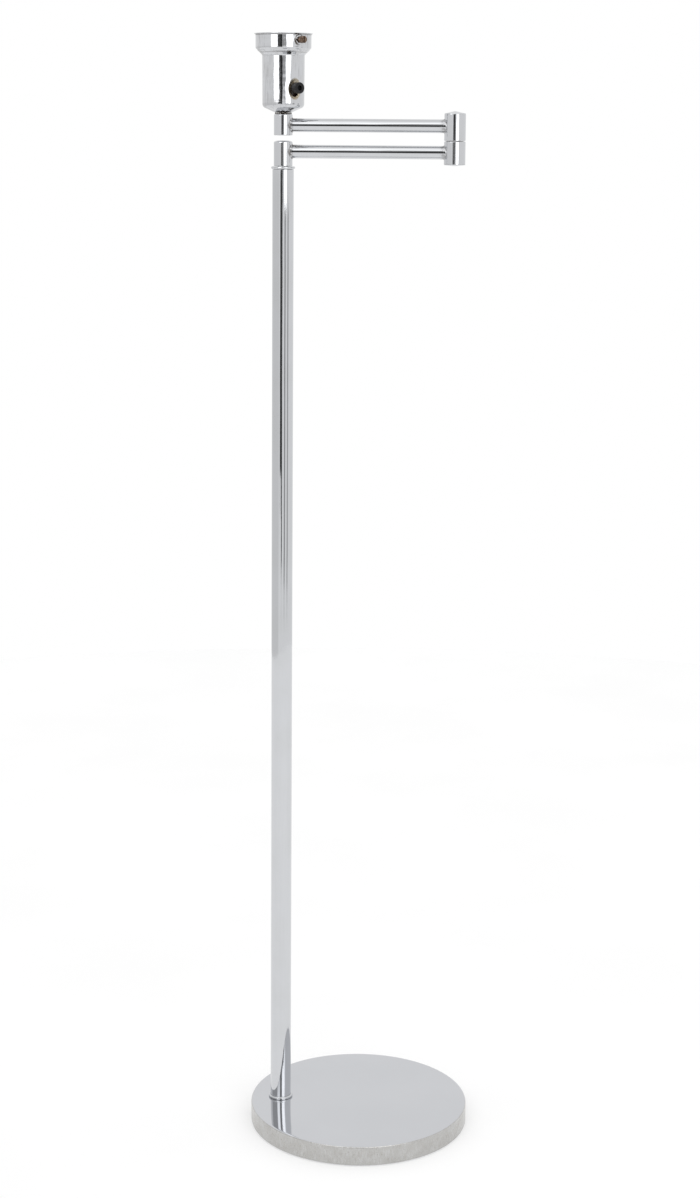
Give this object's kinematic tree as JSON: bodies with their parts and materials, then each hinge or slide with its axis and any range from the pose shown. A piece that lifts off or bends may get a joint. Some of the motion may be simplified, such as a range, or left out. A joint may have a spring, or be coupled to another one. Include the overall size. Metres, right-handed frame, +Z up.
{
  "type": "swing arm floor lamp",
  "caption": "Chrome floor lamp stand: heavy round base, off-centre pole, double swing arm folded over itself, and a socket cup with a screw-held glass fitter and a turn switch.",
  "frame": {"origin": "floor level, under the middle of the round base", "axes": "+Z up along the pole; +X from the pole's axis across the middle of the base, which is also the way the folded arms point"},
  "size_m": [0.27, 0.27, 1.3462],
  "materials": {
    "chrome": "polished plating with light wear",
    "zinc": "zinc plated",
    "bronze": "machined bronze",
    "brass": "tarnished brass",
    "phenolic": "moulded brown phenolic",
    "black_plastic": "satin",
    "rubber": "matt",
    "felt": "pressed felt",
    "fibre": "vulcanised fibre"
  },
  "bodies": {
    "stand": {"base_disc": "chrome", "base_felt": "felt", "cord_grommet": "rubber", "foot_washer": "zinc", "foot_nut": "zinc", "foot_stud": "zinc", "foot_plug": "zinc", "foot_ring": "chrome", "pole_tube": "chrome", "top_bushing": "bronze", "collar_ring": "chrome"},
    "lower_arm": {"lower_hub": "chrome", "lower_arm_tube": "chrome", "lower_pivot_stem": "zinc", "pivot_washer": "bronze", "pivot_locknut": "zinc", "knuckle_lower": "chrome", "knuckle_bottom_cap": "chrome", "knuckle_friction_washer": "fibre", "knuckle_pivot": "zinc", "knuckle_washer": "bronze", "knuckle_locknut": "zinc"},
    "upper_arm": {"knuckle_upper": "chrome", "knuckle_top_cap": "chrome", "upper_arm_tube": "chrome", "upper_hub": "chrome", "cup_pipe": "zinc", "neck_ring": "chrome", "socket_cup": "chrome", "cup_washer": "zinc", "cup_locknut": "zinc", "switch_housing": "phenolic", "socket_base": "phenolic", "screw_shell": "brass", "socket_sleeve": "fibre", "centre_contact": "brass"},
    "switch_knob": {"turn_knob": "black_plastic", "knob_shaft": "brass", "switch_rotor": "phenolic"},
    "screw_front": {"fitter_screw_1": "brass"},
    "screw_back": {"fitter_screw_2": "brass"}
  },
  "joints": [
    {"name": "lower_swing", "type": "hinge", "parent": "stand", "child": "lower_arm", "pos_m": [-0.0986, 0, 1.2085], "axis": [0, 0, 1], "range_deg": [-170, 170]},
    {"name": "upper_swing", "type": "hinge", "parent": "lower_arm", "child": "upper_arm", "pos_m": [0.1046, 0, 1.2222], "axis": [0, 0, 1], "range_deg": [-170, 170]},
    {"name": "switch_turn", "type": "hinge", "parent": "upper_arm", "child": "switch_knob", "pos_m": [-0.07972, -0.02331, 1.2826], "axis": [0.6293, -0.7771, 0], "continuous": true},
    {"name": "screw_front_travel", "type": "slide", "parent": "upper_arm", "child": "screw_front", "axis": [0.6293, -0.7771, 0], "range_m": [-0.0018, 0.003]},
    {"name": "screw_back_travel", "type": "slide", "parent": "upper_arm", "child": "screw_back", "axis": [-0.6293, 0.7771, 0], "range_m": [-0.0018, 0.003]}
  ]
}
